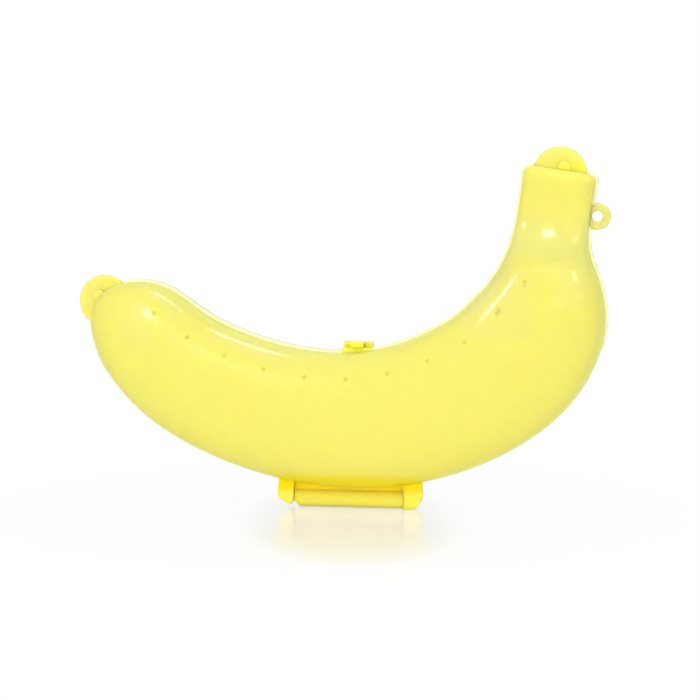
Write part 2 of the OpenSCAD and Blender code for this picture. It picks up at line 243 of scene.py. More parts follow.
def face_depth(points, inset):
    """How far forward a shell's face lies at points of the parting plane, and where that is on its grid."""
    depths, grid = [], []
    for q in points:
        off = q - PLACE_ROWS[:, :2]
        ahead = np.abs((off * PLACE_ALONG).sum(1))
        ahead[np.linalg.norm(off, axis=1) > BESIDE] = np.inf
        i = int(np.argmin(ahead))
        row = PLACE_ROWS[i]
        across = float(off[i] @ left_of(PLACE_ALONG[i])) / (row[2] - inset)
        rise = (1 - abs(across) ** SECTION_POWER) ** (1 / SECTION_POWER)
        depths.append(LAND + (row[3] - inset - LAND) * rise)
        turn = math.acos(math.copysign(abs(across) ** (SECTION_POWER / 2), across))
        grid.append((TIP_STEPS + (PLACES[i] - 1) * BODY_STEPS / (SPANS - 1), 2 + turn * ARC_STEPS / math.pi))
    return np.array(depths), np.array(grid)


def vent_places():
    """Centres of the vents, stepped off along a row beside the inner edge."""
    share = np.linspace(0, 1, VENT_LINE_STEPS + 1)
    row, along = line_at(1 + VENT_ROWS * share)
    line = row[:, :2] + left_of(along) * (row[:, 2] - VENT_INSET - VENT_DRIFT * share ** 3)[:, None]
    length = run_length(line)
    at = VENT_FIRST + VENT_PITCH * np.arange(VENT_COUNT)
    return np.stack([np.interp(at, length, line[:, 0]), np.interp(at, length, line[:, 1])], 1)


def run_length(line):
    """Length of a line up to each of its points."""
    return np.concatenate([[0], np.cumsum(np.linalg.norm(np.diff(line, axis=0), axis=1))])


class Skein:
    """Points and faces of one piece, gathered before its mesh is made."""

    def __init__(self):
        self.points, self.faces = [], []

    def put(self, points):
        """Adds points and gives their numbers."""
        first = len(self.points)
        self.points.extend(np.asarray(points, float).reshape(-1, 3))
        return np.arange(first, len(self.points))

    def put_plan(self, plan, depth):
        """Adds points of the parting plane, moved to one depth or to a depth each."""
        return self.put(np.stack([plan[:, 0], np.broadcast_to(depth, len(plan)), plan[:, 1]], 1))

    def plan_of(self, row):
        """Points of a row as they lie in the parting plane."""
        return np.array([self.points[i] for i in row])[:, [0, 2]]

    def strip(self, a, b, closed=True):
        """Joins two rows of the same number of points."""
        n = len(a)
        for i in range(n if closed else n - 1):
            j = (i + 1) % n
            self.faces.append((a[i], a[j], b[j], b[i]))

    def tube(self, rows, closed=True):
        """Joins each row to the next one, and the last to the first."""
        for a, b in zip(rows, rows[1:] + rows[:1]):
            self.strip(a, b, closed)

    def fan(self, ring):
        """Closes a flat ring from its middle."""
        middle = self.put([np.mean([self.points[i] for i in ring], 0)])[0]
        for i in range(len(ring)):
            self.faces.append((ring[i], ring[(i + 1) % len(ring)], middle))

    def mesh(self, node, mirrored=False):
        """Makes the mesh that stands for a solid, mirrored to the back if asked for."""
        made = bpy.data.meshes.new(node + "_soft")
        points = np.array(self.points) * MM
        if mirrored:
            points[:, 1] *= -1
        made.from_pydata(points.tolist(), [], [[int(i) for i in f] for f in self.faces])
        tidy_mesh(made, SHELL_SHARP)
        return made


def tidy_mesh(made, sharp):
    """Merges doubled points, drops slivers and loose points, turns faces outwards and smooths all but sharp edges."""
    work = bmesh.new()
    work.from_mesh(made)
    bmesh.ops.remove_doubles(work, verts=work.verts, dist=DOUBLE)
    bmesh.ops.dissolve_degenerate(work, edges=work.edges, dist=SLIVER)
    bmesh.ops.delete(work, geom=[v for v in work.verts if not v.link_faces], context="VERTS")
    bmesh.ops.recalc_face_normals(work, faces=work.faces)
    for f in work.faces:
        f.smooth = True
    work.to_mesh(made)
    work.free()
    made.set_sharp_from_angle(angle=math.radians(sharp))


def place_piece(node, made, body, finish):
    """Puts a mesh in the scene as the piece of the case that stands for a solid."""
    piece = bpy.data.objects.new(node + "_moulding", made)
    bpy.context.scene.collection.objects.link(piece)
    made.materials.clear()
    made.materials.append(finish)
    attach(piece, body)
    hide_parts(node)


def open_vents(skein, grid, inset, face):
    """Draws the vents in one face of a shell; gives the grid's cells that make way for them, and their mouths."""
    mouths, cells = [], set()
    spokes = 2 * sum(VENT_BLOCK)
    uniform = 2 * np.pi * np.arange(spokes) / spokes
    for hole in vent_places():
        _, at = face_depth([hole], inset)
        k0, j0 = np.round(at[0]).astype(int) - np.array(VENT_BLOCK) // 2
        k1, j1 = k0 + VENT_BLOCK[0], j0 + VENT_BLOCK[1]
        cells |= {(k, j) for k in range(k0, k1) for j in range(j0, j1)}
        loop = [(k, j0) for k in range(k0, k1)] + [(k1, j) for j in range(j0, j1)]
        loop += [(k, j1) for k in range(k1, k0, -1)] + [(k0, j) for j in range(j1, j0, -1)]
        ring = np.array([grid[k, j] for k, j in loop])
        spot = skein.plan_of(ring) - hole
        angle = np.unwrap(np.arctan2(spot[:, 1], spot[:, 0]))
        turn = np.sign(angle[-1] - angle[0])
        spoke = (np.mean(angle * turn - uniform) + uniform) * turn
        for r, sunk in VENT_RINGS[face]:
            points = hole + r * np.stack([np.cos(spoke), np.sin(spoke)], 1)
            depth, _ = face_depth(points, inset)
            made = skein.put_plan(points, -(depth - face * sunk))
            skein.strip(ring, made)
            ring = made
        mouths.append(ring)
    return cells, mouths


def match_rings(skein, ring, other):
    """Order in which another ring's points lie opposite this ring's points."""
    a, b = skein.plan_of(ring), skein.plan_of(other)
    n = len(ring)
    best = None
    for step in (1, -1):
        for first in range(n):
            order = (first + step * np.arange(n)) % n
            far = np.linalg.norm(a - b[order], axis=1).sum()
            if best is None or far < best[0]:
                best = (far, order)
    return best[1]


def half_shell(node, body, finish, mirrored=False):
    """One thin half of the case: outer face, inner face, rounded rim, vents and closed stem end."""
    skein = Skein()
    foot = FACE + RIM_ROUND
    loops, mouths = [], []
    for inset, face in ((0.0, OUTER_FACE), (WALL, INNER_FACE)):
        points = skin(inset, foot)
        grid = skein.put(points).reshape(points.shape[:2])
        cells, holes = open_vents(skein, grid, inset, face)
        mouths.append(holes)
        for k in range(grid.shape[0] - 1):
            for j in range(grid.shape[1] - 1):
                if (k, j) not in cells:
                    skein.faces.append((grid[k, j], grid[k + 1, j], grid[k + 1, j + 1], grid[k, j + 1]))
        loop = outline(inset)
        last = len(points)
        across = skein.put_plan(loop[last:last + END_LINE_STEPS - 1], -foot)
        skein.fan(np.concatenate([grid[-1], across[::-1]]))
        loops.append((loop, np.concatenate([grid[:, 0], across, grid[::-1, -1][:-1]])))
    for outer_ring, inner_ring in zip(*mouths):
        skein.strip(outer_ring, inner_ring[match_rings(skein, outer_ring, inner_ring)])
    (outer, outer_row), (inner, inner_row) = loops
    inwards = inner - outer
    inwards /= np.linalg.norm(inwards, axis=1, keepdims=True)
    rows = [outer_row]
    for base, step, drop in ((outer, CORNER, CORNER), (outer, 1, 0), (inner, -1, 0), (inner, -CORNER, CORNER)):
        rows.append(skein.put_plan(base + inwards * RIM_ROUND * step, -(FACE + RIM_ROUND * drop)))
    rows.append(inner_row)
    for a, b in zip(rows, rows[1:]):
        skein.strip(a, b)
    place_piece(node, skein.mesh(node, mirrored), body, finish)


def flange_runs():
    """Stretches of the rim that carry the flange: points, normals and shares of its width."""
    is_outer = np.arange(len(CASE_LOOP)) >= TIP_STEPS + BODY_STEPS + END_STEPS + END_LINE_STEPS
    foot = is_outer & (CASE_LOOP[:, 1] < FLANGE_FOOT)
    cut = foot.copy()
    for centre, r in ((RING_CENTRE, RING_R), (TIP_TAB_CENTRE, TAB_R), (STEM_TAB_CENTRE, TAB_R)):
        cut |= np.linalg.norm(CASE_LOOP - centre, axis=1) < r - SHELL_LET_IN
    first = int(np.argmax(cut & ~np.roll(cut, -1))) + 1
    runs = [[]]
    for i in (first + np.arange(len(CASE_LOOP))) % len(CASE_LOOP):
        if cut[i]:
            runs.append([])
        else:
            runs[-1].append(i)
    for run in runs:
        if len(run) > FLANGE_SHORTEST:
            length = run_length(CASE_LOOP[run])
            near = np.full(len(run), FAR)
            if foot[run[0] - 1]:
                near = np.minimum(near, length)
            if foot[(run[-1] + 1) % len(CASE_LOOP)]:
                near = np.minimum(near, length[-1] - length)
            ease = np.clip(near / FLANGE_EASE, 0, 1)
            share = FLANGE_LEAST + (1 - FLANGE_LEAST) * np.sqrt(1 - (1 - ease) ** 2)
            yield CASE_LOOP[run], CASE_OUT[run], share


def rim_flange(finish):
    """Narrow flange round the rear half, run out above the hinge and stopped at the tabs and the carry ring."""
    r = FLANGE_ROUND
    profile = [(-FLANGE_LET_IN, FACE), (FLANGE_W - r, FACE), (FLANGE_W - r * CORNER, FACE + r * CORNER),
               (FLANGE_W, FACE + r), (FLANGE_W, LAND - r), (FLANGE_W - r * CORNER, LAND - r * CORNER),
               (FLANGE_W - r, LAND), (-FLANGE_LET_IN, LAND)]
    skein = Skein()
    for path, out, share in flange_runs():
        rows = [skein.put_plan(path + out * np.minimum(reach, reach * share)[:, None], y) for reach, y in profile]
        skein.tube(rows, closed=False)
        skein.fan([row[0] for row in rows])
        skein.fan([row[-1] for row in rows])
    place_piece("rim_flange", skein.mesh("rim_flange"), "rear_half", finish)


def locating_lip(finish):
    """Inner lip of the rear half that reaches into the front half."""
    r, wall = LIP_ROUND, WALL - LIP_LET_IN
    near, deep = WALL + LIP_GAP, WALL + LIP_GAP + LIP_T
    profile = [(wall, LIP_ROOT - r), (wall, FACE), (near, FACE), (near, -LIP_REACH + r),
               (near + r * CORNER, -LIP_REACH + r * CORNER), (near + r, -LIP_REACH), (deep - r, -LIP_REACH),
               (deep - r * CORNER, -LIP_REACH + r * CORNER), (deep, -LIP_REACH + r), (deep, LIP_ROOT - r),
               (deep - r * CORNER, LIP_ROOT - r * CORNER), (deep - r, LIP_ROOT), (wall + r, LIP_ROOT)]
    skein = Skein()
    skein.tube([skein.put_plan(outline(inset), y) for inset, y in profile])
    place_piece("locating_lip", skein.mesh("locating_lip"), "rear_half", finish)


def reach_to(loop, centre, ways):
    """How far a loop is from a point in each direction."""
    a, b = loop - centre, np.roll(loop, -1, 0) - centre
    far = []
    for way in ways:
        side_a, side_b = a @ left_of(way), b @ left_of(way)
        cut = (side_a > 0) != (side_b > 0)
        share = side_a[cut] / (side_a[cut] - side_b[cut])
        ahead = (a[cut] + (b - a)[cut] * share[:, None]) @ way
        far.append(ahead[ahead > 0].min(initial=FAR))
    return np.array(far)


def all_round(count):
    """Directions spread evenly round a circle."""
    turn = 2 * np.pi * np.arange(count) / count
    return np.stack([np.cos(turn), np.sin(turn)], 1)


def rounded_pad(node, body, finish, centre, ways, inner, outer, front, back, soft, closed=True):
    """Flat pad with rounded edges, drawn round a centre from an inner to an outer distance in each direction."""
    turn = np.radians(np.linspace(0, 90, SOFT_STEPS + 1))
    section = [(outer - soft * (1 - math.sin(t)), front + soft * (1 - math.cos(t))) for t in turn]
    section += [(far, front + back - y) for far, y in section[::-1]]
    if inner.min() > 0 and closed:
        hole = [(inner + soft * (1 - math.sin(t)), back - soft * (1 - math.cos(t))) for t in turn]
        section += hole + [(far, front + back - y) for far, y in hole[::-1]]
    else:
        section += [(inner, back), (inner, front)]
    skein = Skein()
    rows = [skein.put_plan(centre + ways * np.maximum(far, inner)[:, None], y) for far, y in section]
    skein.tube(rows, closed)
    place_piece(node, skein.mesh(node), body, finish)


def thumb_tab(node, centre, finish):
    """Round tab behind the rim, let through the flange into the shell."""
    ways = all_round(TAB_STEPS)
    root = reach_to(outline(SHELL_LET_IN), centre, ways)
    free = root < TAB_R
    first = int(np.argmax(free & ~np.roll(free, 1)))
    run = [i for i in (first + np.arange(len(ways))) % len(ways) if free[i]]
    outer = np.full(len(run), TAB_R)
    outer[[0, -1]] = root[run][[0, -1]]
    rounded_pad(node, "rear_half", finish, centre, ways[run], root[run], outer,
                FACE - PAD_PROUD, FACE + TAB_T, TAB_SOFT, closed=False)


def carry_ring(finish):
    """Eye beside the stem, let into the shell's wall."""
    ways = all_round(PAD_STEPS)
    outer = np.minimum(RING_R, reach_to(outline(SHELL_LET_IN), RING_CENTRE, ways))
    rounded_pad("carry_ring", "rear_half", finish, RING_CENTRE, ways, np.full(len(ways), RING_HOLE_R), outer,
                FACE - PAD_PROUD, FACE + RING_T, RING_SOFT)


def snap_nose(node, end, out, shift, finish):
    """Small nose with a round end that stands out of the front shell in front of a tab."""
    centre = end - left_of(out) * shift + out * (NOSE_REACH - NOSE_W / 2)
    ways = all_round(PAD_STEPS)
    aside = np.abs(ways @ left_of(out))
    outer = np.where(ways @ out > 0, NOSE_W / 2, NOSE_W / 2 / np.maximum(aside, NOSE_LEAST_ASIDE))
    outer = np.minimum(outer, reach_to(outline(SHELL_LET_IN), centre, ways))
    rounded_pad(node, "front_half", finish, centre, ways, np.zeros(len(ways)), outer,
                -FACE - NOSE_T, -FACE, NOSE_SOFT)


def merge_flat(work):
    """Merges doubled points, and triangles that lie in one plane."""
    bmesh.ops.remove_doubles(work, verts=work.verts, dist=DOUBLE)
    bmesh.ops.dissolve_limit(work, angle_limit=math.radians(FLAT_ANGLE), verts=work.verts, edges=work.edges)


def let_in_roots(work, rooted):
    """Moves the points that lie on a loop into it by the loop's own amount, and gives those points."""
    moved = set()
    loops = [(loop, outward(loop), let_in) for loop, let_in in rooted]
    for v in work.verts:
        plan = np.array([v.co.x, v.co.z]) / MM
        for loop, out, let_in in loops:
            far = np.linalg.norm(loop - plan, axis=1)
            i = int(np.argmin(far))
            side = float((plan - loop[i]) @ out[i])
            if abs(side) < ROOT_NEAR and far[i] < ROOT_ALONG:
                inwards = -out[i] * (let_in + side) * MM
                v.co.x += inwards[0]
                v.co.z += inwards[1]
                moved.add(v)
                break
    return moved


def softened(node, body, width, finish, rooted=(), shaved=(), flush=None):
    """Copy of a fitting's solid with rounded edges.

    Sides that meet a loop of rooted are let into it. shaved lists points and directions of planes that cut corners
    off, and flush is the depth at which the piece ends towards the front."""
    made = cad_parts[node].data.copy()
    made.name = node + "_soft"
    work = bmesh.new()
    work.from_mesh(made)
    merge_flat(work)
    for (x, z), (out_x, out_z) in shaved:
        out = Vector((out_x, 0, out_z)).normalized()
        bmesh.ops.bisect_plane(work, geom=work.verts[:] + work.edges[:] + work.faces[:], dist=SLIVER,
                               clear_outer=True, plane_co=Vector((x, 0, z)) * MM, plane_no=out)
        bmesh.ops.triangle_fill(work, use_beauty=True, use_dissolve=True, normal=out,
                                edges=[e for e in work.edges if e.is_boundary])
    if flush is not None:
        for v in work.verts:
            v.co.y = max(v.co.y, flush * MM)
        merge_flat(work)
    moved = let_in_roots(work, rooted)
    edges = [e for e in work.edges if len(e.link_faces) == 2 and e.calc_face_angle() > math.radians(EDGE_ANGLE)
             and not (e.verts[0] in moved and e.verts[1] in moved)]
    bmesh.ops.bevel(work, geom=edges, offset=width * MM, offset_type="OFFSET", segments=3, profile=0.5,
                    affect="EDGES", clamp_overlap=True)
    work.to_mesh(made)
    work.free()
    tidy_mesh(made, FITTING_SHARP)
    place_piece(node, made, body, finish)


class Wire:
    """One value of a finish, so that its maths reads as plain sums."""

    def __init__(self, finish, socket):
        self.finish, self.socket = finish, socket

    def sum_of(self, operation, *values):
        """Result of one step of maths on values."""
        return self.finish.add("ShaderNodeMath", {"operation": operation}, dict(enumerate(values)))

    def __add__(self, other):
        return self.sum_of("ADD", self, other)

    def __radd__(self, other):
        return self.sum_of("ADD", other, self)

    def __sub__(self, other):
        return self.sum_of("SUBTRACT", self, other)

    def __rsub__(self, other):
        return self.sum_of("SUBTRACT", other, self)

    def __mul__(self, other):
        return self.sum_of("MULTIPLY", self, other)

    def __rmul__(self, other):
        return self.sum_of("MULTIPLY", other, self)

    def __abs__(self):
        return self.sum_of("ABSOLUTE", self)

    def least(self, other):
        """The smaller of two values."""
        return self.sum_of("MINIMUM", self, other)

    def most(self, other):
        """The larger of two values."""
        return self.sum_of("MAXIMUM", self, other)

    def fade(self, low, high):
        """Rises softly from 0 at low to 1 at high."""
        return self.finish.add("ShaderNodeMapRange", {"interpolation_type": "SMOOTHSTEP"},
                               {"Value": self, "From Min": low, "From Max": high})

    def ramp(self, start, full):
        """The same between two places in millimetres."""
        return self.fade(start * MM, full * MM)

    def within(self, start, full, last, end):
        """Rises to 1 between the first two places, in millimetres, and falls back to 0 between the last two."""
        return self.ramp(start, full) * self.ramp(end, last)


class Finish:
    """Nodes of one material, or of the studio's surroundings."""

    def __init__(self, tree):
        self.tree = tree
        tree.nodes.clear()

    def add(self, kind, settings=None, sockets=None, out=0):
        """Adds a node: its settings are set first, then its sockets get values or links."""
        node = self.tree.nodes.new(kind)
        for key, value in (settings or {}).items():
            setattr(node, key, value)
        for key, value in (sockets or {}).items():
            if isinstance(value, Wire):
                self.tree.links.new(value.socket, node.inputs[key])
            else:
                node.inputs[key].default_value = value
        return Wire(self, node.outputs[out]) if node.outputs else None

    def noise(self, where, scale, detail=2.0):
        """Soft cloudy noise round 0.5."""
        return self.add("ShaderNodeTexNoise", None, {"Vector": where, "Scale": scale, "Detail": detail})

    def streaks(self, where, scales, detail):
        """Noise with a scale of its own along each axis."""
        return self.noise(self.add("ShaderNodeMapping", None, {"Vector": where, "Scale": scales}), 1.0, detail)

    def between(self, share, a, b):
        """A colour that goes from a to b."""
        return self.add("ShaderNodeMix", {"data_type": "RGBA"}, {0: share, 6: a, 7: b}, 2)

    def part_of(self, vector, axis):
        """One of a vector's three numbers."""
        return self.add("ShaderNodeSeparateXYZ", None, {0: vector}, axis)

    def measure(self, operation, where, *other):
        """A length found from a place, such as its distance from another one."""
        return self.add("ShaderNodeVectorMath", {"operation": operation}, dict(enumerate((where, *other))), "Value")

    def rays(self):
        """1 for what the camera sees straight, in a reflection and through something."""
        return [self.add("ShaderNodeLightPath", None, None, ray)
                for ray in ("Is Camera Ray", "Is Glossy Ray", "Is Transmission Ray")]


def new_finish(name):
    """A new material, and its nodes to be filled in."""
    material = bpy.data.materials.new(name)
    material.use_nodes = True
    return material, Finish(material.node_tree)


def srgb(*levels):
    """Linear colour of a colour as it is seen on a screen."""
    shares = [level / 255 for level in levels]
    return tuple((c / 12.92 if c <= 0.04045 else ((c + 0.055) / 1.055) ** 2.4) for c in shares) + (1,)


WHITE = (1, 1, 1, 1)
SHELL_YELLOW = (srgb(250, 231, 113), srgb(249, 228, 105))
# Painted light: a paler colour on the shells' faces turned away from front and back, where they get less light.
SHELL_PAINTED_EDGE_LIGHT = (srgb(254, 243, 110), 0.5, 0.15)
HINGE_YELLOW = (srgb(253, 240, 104), srgb(252, 237, 94))
# Painted shade: a deeper colour on the hinge's upper part, in the nook under the shell.
HINGE_PAINTED_SHADE = (srgb(255, 226, 14), (0, 0, 1), 4.8, 7.6)
# Painted shade: a deep colour on the shells' underside over the hinge.
SHELL_PAINTED_SHADE_OVER_HINGE = srgb(255, 217, 12)
LATCH_YELLOW = (srgb(250, 241, 90), srgb(248, 238, 80))
TAB_YELLOW = (srgb(228, 220, 114), srgb(225, 217, 106))
# Painted shade: a darker colour on the edges of the tabs and the ring that are turned away from front and back.
TAB_PAINTED_EDGE_SHADE = (srgb(212, 209, 92), 0.92, 0.3)
# Painted shade: a deeper colour on the tabs where they meet the shell.
PAINTED_TAB_SHADE = srgb(228, 224, 78)
TIP_TAB_PAINTED_SHADE = (PAINTED_TAB_SHADE, (0.8, 0, -0.6), -112.5, -109.5)
STEM_TAB_PAINTED_SHADE = (PAINTED_TAB_SHADE, (0.15, 0, -0.99), -113.0, -109.0)
RING_YELLOW = (srgb(214, 213, 138), srgb(211, 209, 126))
# Painted light: the flange's pale cream stands in for light shining through its thin plastic.
RIM_PAINTED_PALE_LIGHT = (srgb(254, 250, 200), srgb(253, 248, 190))
# Painted shade: a greyer line on the flange's edges turned away from front and back.
RIM_PAINTED_EDGE_SHADE = (srgb(234, 231, 186), 0.75, 0.3)
# Painted shade: a deeper colour round the vents, in place of the shade inside the holes.
VENT_PAINTED_SHADE = srgb(236, 219, 76)

# The plastic's marks: their scales, counted in a metre, and how much each of them does.
FLOW_SCALE = 26.0
STREAK_SCALES = (18, 40, 140)
GRAIN_SCALE = 1400.0
SCRATCH_SCALES = (60, 300, 900)
SCUFF_FROM, SCUFF_FULL = 0.62, 0.74
FLOW_TINT, STREAK_TINT = 0.65, 0.35
FLOW_ROUGH, GRAIN_ROUGH, SCUFF_ROUGH = 0.06, 0.04, 0.05
FLOW_POLISH, MIDDLE_POLISH = 0.4, 0.9
SCUFF_RELIEF = 0.3

# Places of the shells that are polished, across and up: where the polish starts, is full, begins to end and ends.
# Some marks also need a face that is turned to the front, to the side or upwards; polish fades out at the edges.
TIP_MARK_ACROSS = (-79, -73, -69, -62)
TIP_MARK_UP = (56, 63)
TIP_MARK_FRONTWARD = (0.75, 0.88)
STEM_MARK_UP = (89, 95, 103, 109)
EDGE_MARK_ACROSS = (42, 52, 66, 76)
EDGE_MARK_UP = (60, 68, 84, 92)
SIDE_MARK_ACROSS = (77, 81, 88, 92)
SIDE_MARK_UP = (72, 78, 87, 93)
LEFT_RIM_MARK_ACROSS = (-69, -64, -58, -53)
RIGHT_RIM_MARK_ACROSS = (-47, -41, -24, -14)
RIM_MARK_SIDEWARD = (0.8, 0.6)
RIM_MARK_UPWARD = (0.1, 0.4)
EDGE_POLISH = (0.2, 0.5)
FRONT_SIDE = (-1, -6)
SATIN_COAT = 0.06

# The hinge's middle, where the painted shade over it fades, and how near to a vent the painted vent shade comes in.
HINGE_MIDDLE = 3.8
OVER_HINGE_UP = (15.8, 11.0)
OVER_HINGE_ASIDE = (36.0, 24.0)
VENT_SHADE_NEAR = (1.2, 0.4)


def shell_polish(finish, where, normal, turned):
    """Share of polish on a shell: full in its bright marks, slight elsewhere and none at its edges."""
    across, up = finish.part_of(where, 0), finish.part_of(where, 2)
    tip = across.within(*TIP_MARK_ACROSS) * up.ramp(*TIP_MARK_UP) * turned.fade(*TIP_MARK_FRONTWARD)
    stem = up.within(*STEM_MARK_UP)
    edge = across.within(*EDGE_MARK_ACROSS) * up.within(*EDGE_MARK_UP)
    side = across.within(*SIDE_MARK_ACROSS) * up.within(*SIDE_MARK_UP)
    rim = across.within(*LEFT_RIM_MARK_ACROSS) + across.within(*RIGHT_RIM_MARK_ACROSS)
    rim = rim * turned.fade(*RIM_MARK_SIDEWARD) * finish.part_of(normal, 2).fade(*RIM_MARK_UPWARD)
    satin = (1 - tip) * (1 - stem) * (1 - edge) * (1 - side) * (1 - rim)
    marks = (1 - satin) * finish.part_of(where, 1).ramp(*FRONT_SIDE)
    return (SATIN_COAT + (1 - SATIN_COAT) * marks) * turned.fade(*EDGE_POLISH)


def painted_shade_over_hinge(finish, where):
    """1 on the part of the shells that the hinge stands under, where shade is painted."""
    aside = abs(finish.part_of(where, 0) - HINGE_MIDDLE * MM)
    return finish.part_of(where, 2).ramp(*OVER_HINGE_UP) * aside.ramp(*OVER_HINGE_ASIDE)


def painted_vent_shade_mask(finish, where):
    """1 in the vents of the shells, where their shade is painted, and 0 away from them."""
    flat = finish.add("ShaderNodeVectorMath", {"operation": "MULTIPLY"}, {0: where, 1: (1, 0, 1)})
    nearest = 1.0
    for x, z in vent_places():
        nearest = finish.measure("DISTANCE", flat, (x * MM, 0, z * MM)).least(nearest)
    return nearest.ramp(*VENT_SHADE_NEAR)


def moulded_plastic(name, pale, deep, rough, reach, gloss=0.5, blue=0.2, rim=None, root=None, shell=False):
    """Slightly see-through moulded plastic with flow marks, a fine skin and faint handling scuffs.

    reach is how far light goes into it, and blue the share of that for blue light. rim is a colour painted on faces
    turned away from front and back, and the two turns between which it comes in: painted light on the shells, painted
    shade on the tabs, the ring and the flange. root is a painted shade in the nook where a fitting meets the case,
    and the direction and two places between which it comes in. shell gives the skin of a half shell: satin, polished
    in a few places, with painted shade over the hinge and round the vents."""
    material, finish = new_finish(name)
    where = finish.add("ShaderNodeTexCoord", None, None, "Object")
    normal = finish.add("ShaderNodeTexCoord", None, None, "Normal")
    turned = abs(finish.part_of(normal, 1))
    flow = finish.noise(where, FLOW_SCALE, 3.0)
    streak = finish.streaks(where, STREAK_SCALES, 2.0)
    grain = finish.noise(where, GRAIN_SCALE)
    scuff = finish.streaks(where, SCRATCH_SCALES, 3.0).fade(SCUFF_FROM, SCUFF_FULL)
    colour = finish.between(flow * FLOW_TINT + streak * STREAK_TINT, pale, deep)
    roughness = rough + (flow - 0.5) * FLOW_ROUGH + (grain - 0.5) * GRAIN_ROUGH + scuff * SCUFF_ROUGH
    relief = grain + scuff * SCUFF_RELIEF
    polish = 0.0
    # Colour painted on faces turned away from front and back: painted light on the shells, painted shade on the tabs,
    # ring and flange.
    if rim:
        tint, inner, outer = rim
        colour = finish.between(turned.fade(inner, outer), colour, tint)
    # Painted shade in the nook where a fitting meets the case.
    if root:
        tint, way, start, end = root
        colour = finish.between(finish.measure("DOT_PRODUCT", where, way).ramp(start, end), colour, tint)
    if shell:
        polish = shell_polish(finish, where, normal, turned) * (MIDDLE_POLISH + (flow - 0.5) * FLOW_POLISH)
        # Painted shade over the hinge and round the vents.
        colour = finish.between(painted_shade_over_hinge(finish, where), colour, SHELL_PAINTED_SHADE_OVER_HINGE)
        colour = finish.between(painted_vent_shade_mask(finish, where), colour, VENT_PAINTED_SHADE)
    bump = finish.add("ShaderNodeBump", None, {"Strength": 0.04, "Distance": 0.0002, "Height": relief})
    shader = finish.add("ShaderNodeBsdfPrincipled", None, {
        "Base Color": colour,
        "Roughness": roughness,
        "Normal": bump,
        "IOR": 1.49,
        "Specular IOR Level": gloss,
        "Subsurface Weight": 1.0,
        "Subsurface Radius": (1.0, 1.0, blue),
        "Subsurface Scale": reach * MM,
        "Coat Weight": polish,
        "Coat Roughness": 0.17,
        "Coat IOR": 1.7,
    })
    finish.add("ShaderNodeOutputMaterial", None, {"Surface": shader})
    return material


shell_plastic = moulded_plastic("shell_plastic", *SHELL_YELLOW, rough=0.46, reach=4.0, gloss=0.2, rim=SHELL_PAINTED_EDGE_LIGHT,
                                shell=True)
lip_plastic = moulded_plastic("lip_plastic", *SHELL_YELLOW, rough=0.34, reach=4.0)
hinge_plastic = moulded_plastic("hinge_plastic", *HINGE_YELLOW, rough=0.36, reach=4.0, gloss=0.3, root=HINGE_PAINTED_SHADE)
latch_plastic = moulded_plastic("latch_plastic", *LATCH_YELLOW, rough=0.35, reach=3.0, gloss=0.4)
tip_tab_plastic = moulded_plastic("tip_tab_plastic", *TAB_YELLOW, rough=0.18, reach=3.0, rim=TAB_PAINTED_EDGE_SHADE,
                                  root=TIP_TAB_PAINTED_SHADE)
stem_tab_plastic = moulded_plastic("stem_tab_plastic", *TAB_YELLOW, rough=0.18, reach=3.0, rim=TAB_PAINTED_EDGE_SHADE,
                                   root=STEM_TAB_PAINTED_SHADE)
ring_plastic = moulded_plastic("ring_plastic", *RING_YELLOW, rough=0.18, reach=3.0, rim=TAB_PAINTED_EDGE_SHADE)
rim_plastic = moulded_plastic("rim_plastic", *RIM_PAINTED_PALE_LIGHT, rough=0.18, reach=1.0, blue=1.0, rim=RIM_PAINTED_EDGE_SHADE)

# What the fittings are let into, and the planes that cut off the hinge's corners: a point of each and its direction.
ON_SHELL = ((CASE_LOOP, SHELL_LET_IN),)
ON_FLANGE = ((FLANGE_LOOP, EDGE_LET_IN), *ON_SHELL)
LEFT_CORNER = (((-22.4, 4.9), (-0.9, -0.44)), ((-21.9, 3.7), (-0.77, -0.64)), ((-21.1, 2.9), (-0.47, -0.88)))
RIGHT_CORNER = (((30.5, 4.6), (0.97, -0.24)), ((30.0, 2.7), (0.85, -0.53)), ((28.9, 0.9), (0.5, -0.87)))
LEFT_EAR_SIDE = ((-22.4, 4.9), (-1, 0.135))
LEFT_EAR_FOOT = ((-17.6, 1.0), (0.78, -0.62))
BARREL_CORNER = ((-16.2, 2.6), (-0.81, -0.58))
END_ROWS, END_ALONG = line_at([0, SPANS])
TIP_END = END_ROWS[0, :2]
STEM_END = END_ROWS[1, :2] + END_ALONG[1] * END_ROUND

half_shell("front_shell", "front_half", shell_plastic)
half_shell("rear_shell", "rear_half", shell_plastic, mirrored=True)
rim_flange(rim_plastic)
locating_lip(lip_plastic)
softened("hinge_barrel", "rear_half", HINGE_SOFT, hinge_plastic, ON_SHELL, shaved=(BARREL_CORNER,))
softened("left_hinge_ear", "front_half", HINGE_SOFT, hinge_plastic, ON_SHELL, flush=-LAND,
         shaved=(LEFT_EAR_SIDE, *LEFT_CORNER, LEFT_EAR_FOOT))
softened("right_hinge_ear", "front_half", HINGE_SOFT, hinge_plastic, ON_SHELL, flush=-LAND, shaved=RIGHT_CORNER)
softened("hinge_pin", "front_half", PIN_SOFT, hinge_plastic, shaved=LEFT_CORNER + RIGHT_CORNER)
thumb_tab("tip_thumb_tab", TIP_TAB_CENTRE, tip_tab_plastic)
thumb_tab("stem_thumb_tab", STEM_TAB_CENTRE, stem_tab_plastic)
carry_ring(ring_plastic)
snap_nose("tip_snap_nose", TIP_END, -END_ALONG[0], -TIP_NOSE_SHIFT, tip_tab_plastic)
snap_nose("stem_snap_nose", STEM_END, END_ALONG[1], STEM_NOSE_SHIFT, stem_tab_plastic)
softened("latch_lugs", "rear_half", LATCH_SOFT, latch_plastic, ON_FLANGE)
